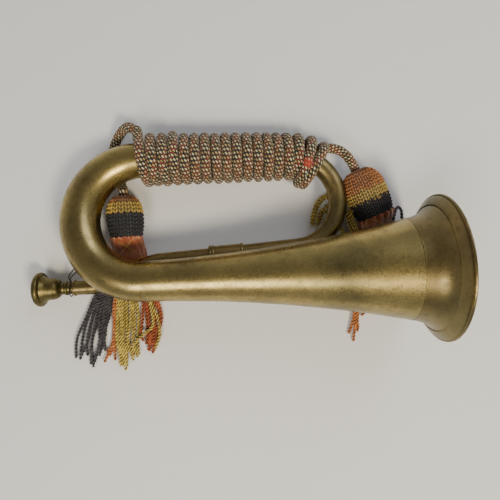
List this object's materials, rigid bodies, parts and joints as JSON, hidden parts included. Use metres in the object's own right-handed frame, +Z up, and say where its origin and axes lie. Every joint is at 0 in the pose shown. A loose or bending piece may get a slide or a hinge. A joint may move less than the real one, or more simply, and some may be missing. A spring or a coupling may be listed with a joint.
{
  "type": "bugle",
  "caption": "Brass bugle folded once, its grip wrapped in braided cord with two knitted tassels, resting on its side.",
  "frame": {"origin": "Middle of the footprint of the bugle without its free cords and tassels, on the surface it rests on.", "axes": "+X from the mouthpiece to the bell, +Y from the bell branch to the gripped tube, +Z up, with the bugle resting on bell rim, mouthpiece rim and cord wrap"},
  "size_m": [0.331, 0.2079, 0.1159],
  "materials": {
    "brass": "aged satin",
    "dark_brass": "dark and worn",
    "iron": "rusted",
    "cord_yarn": "braided",
    "wood": "plain",
    "knit_yarn": "knitted",
    "red_satin": "worn satin",
    "black_yarn": "twisted",
    "yellow_yarn": "twisted",
    "red_yarn": "twisted"
  },
  "bodies": {
    "bugle": {"bell_branch": "brass", "bell_flare": "brass", "bell_rim_band": "brass", "bell_rim_wire": "brass", "bow_saddle": "brass", "cord_end_turns": "cord_yarn", "cord_wrap": "cord_yarn", "front_stay": "brass", "keeper_eye": "dark_brass", "keeper_wire": "iron", "left_bow": "brass", "left_core": "wood", "left_ferrule": "brass", "left_fringe_black": "black_yarn", "left_fringe_red": "red_yarn", "left_fringe_yellow": "yellow_yarn", "left_knit_cover": "knit_yarn", "left_lead": "cord_yarn", "left_skirt": "red_satin", "mouthpiece_receiver": "brass", "mouthpipe": "brass", "pipe_sleeve": "brass", "rear_stay": "brass", "right_bow": "brass", "right_core": "wood", "right_ferrule": "brass", "right_fringe_black": "black_yarn", "right_fringe_red": "red_yarn", "right_fringe_yellow": "yellow_yarn", "right_knit_cover": "knit_yarn", "right_lead": "cord_yarn", "right_skirt": "red_satin", "top_tube": "brass"},
    "mouthpiece": {"mouthpiece": "dark_brass"}
  },
  "joints": [
    {"name": "mouthpiece_pull", "type": "slide", "parent": "bugle", "child": "mouthpiece", "axis": [-0.9988, 0, -0.0499], "range_m": [0, 0.0155]}
  ]
}
